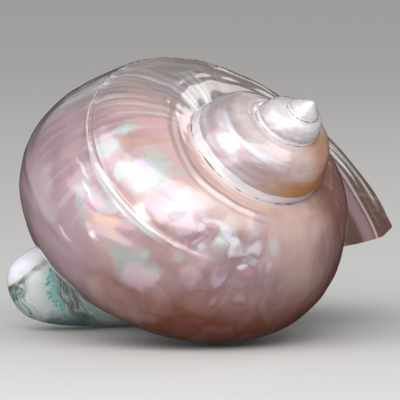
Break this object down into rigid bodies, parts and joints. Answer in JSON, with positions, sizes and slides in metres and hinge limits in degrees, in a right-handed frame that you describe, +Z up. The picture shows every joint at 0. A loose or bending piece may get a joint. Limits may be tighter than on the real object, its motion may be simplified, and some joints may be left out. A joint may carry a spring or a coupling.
{
  "type": "polished turban shell",
  "caption": "Polished right-handed turban snail shell with a coiled spire, a wide round mouth, a thin flared outer lip and a thick marbled lobe at the foot of its pillar.",
  "frame": {"origin": "centre of the bounding box's lower face, on the surface that the shell rests on", "axes": "+Z up from the surface it rests on; the spire points to +X and -Y and up, the lobe to -X, and the mouth opens down and to +X; Y is the longest way across and Z the shortest"},
  "size_m": [0.1394, 0.147, 0.0983],
  "materials": {
    "nacre": "polished mother of pearl, pinkish beige with rose, mint and lilac sheen"
  },
  "bodies": {
    "root": {"turban_shell": "nacre"}
  },
  "joints": []
}
